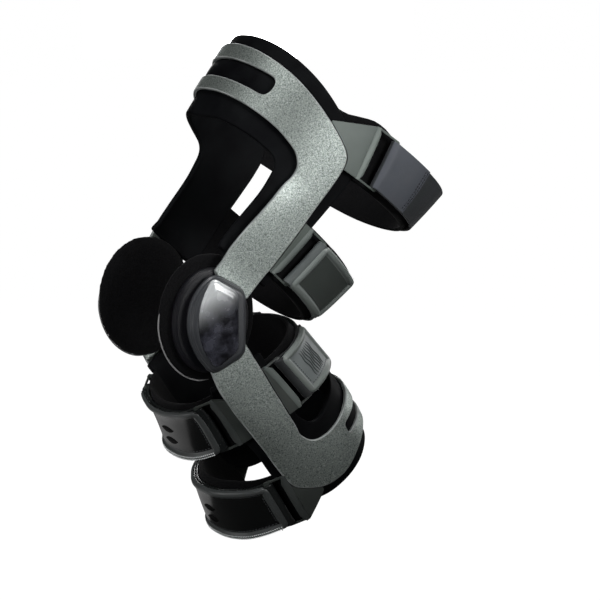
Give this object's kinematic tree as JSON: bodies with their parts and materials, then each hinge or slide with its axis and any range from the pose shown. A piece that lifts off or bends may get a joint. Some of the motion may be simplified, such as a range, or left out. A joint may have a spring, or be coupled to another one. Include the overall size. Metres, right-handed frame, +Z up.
{
  "type": "osteoarthritis knee brace",
  "caption": "Rigid-frame knee brace, bent as worn: coated thigh and calf cuffs on geared side hinges, foam liners, condyle pads and padded straps folded through loop tabs.",
  "frame": {"origin": "centre of the knee, midway between the two hinges and midway between each hinge's pivots", "axes": "+X towards the back of the knee, +Y towards the inner side of a left knee, +Z up as worn"},
  "size_m": [0.2727, 0.1808, 0.3987],
  "materials": {
    "frame": "speckled grey powder coat on aluminium",
    "liner": "black smooth-faced foam",
    "tab": "satin grey-green moulded plastic",
    "strap": "slate grey padded laminate with stitched seams",
    "shin_strap": "glossy black coated strap with a raised border",
    "pad": "black brushed foam pad",
    "plate": "dark grey moulded plastic",
    "cover": "dark grey satin plastic",
    "badge": "domed glossy black",
    "pin": "plain steel pivot"
  },
  "bodies": {
    "hinges": {"condyle_pad_lateral": "pad", "condyle_pad_medial": "pad", "hinge_plate_lateral": "plate", "hinge_plate_medial": "plate", "hinge_cover_lateral": "cover", "hinge_cover_medial": "cover", "hinge_badge_lateral": "badge", "hinge_badge_medial": "badge", "hinge_pin_upper_lateral": "pin", "hinge_pin_upper_medial": "pin", "hinge_pin_lower_lateral": "pin", "hinge_pin_lower_medial": "pin"},
    "thigh": {"thigh_frame": "frame", "thigh_liner": "liner", "thigh_upper_strap": "strap", "thigh_upper_pad": "pad", "thigh_upper_tab_lateral": "tab", "thigh_upper_tab_medial": "tab", "thigh_lower_strap": "strap", "thigh_lower_pad": "pad", "thigh_lower_tab_lateral": "tab", "thigh_lower_tab_medial": "tab"},
    "calf": {"calf_frame": "frame", "calf_liner": "liner", "calf_rear_strap": "strap", "calf_rear_pad": "pad", "calf_rear_tab_lateral": "tab", "calf_rear_tab_medial": "tab", "shin_upper_strap": "shin_strap", "shin_upper_pad": "pad", "shin_upper_tab_lateral": "tab", "shin_upper_tab_medial": "tab", "shin_lower_strap": "shin_strap", "shin_lower_pad": "pad", "shin_lower_tab_lateral": "tab", "shin_lower_tab_medial": "tab"}
  },
  "joints": [
    {"name": "thigh_hinge", "type": "hinge", "parent": "hinges", "child": "thigh", "pos_m": [0.00084, 0, 0.01197], "axis": [0, 1, 0], "range_deg": [-37, 0.5]},
    {"name": "calf_hinge", "type": "hinge", "parent": "hinges", "child": "calf", "pos_m": [-0.00084, 0, -0.01197], "axis": [0, -1, 0], "range_deg": [-37, 0.5]}
  ],
  "couplings": [
    {"joint": "calf_hinge", "follows": "thigh_hinge", "ratio": 1}
  ]
}
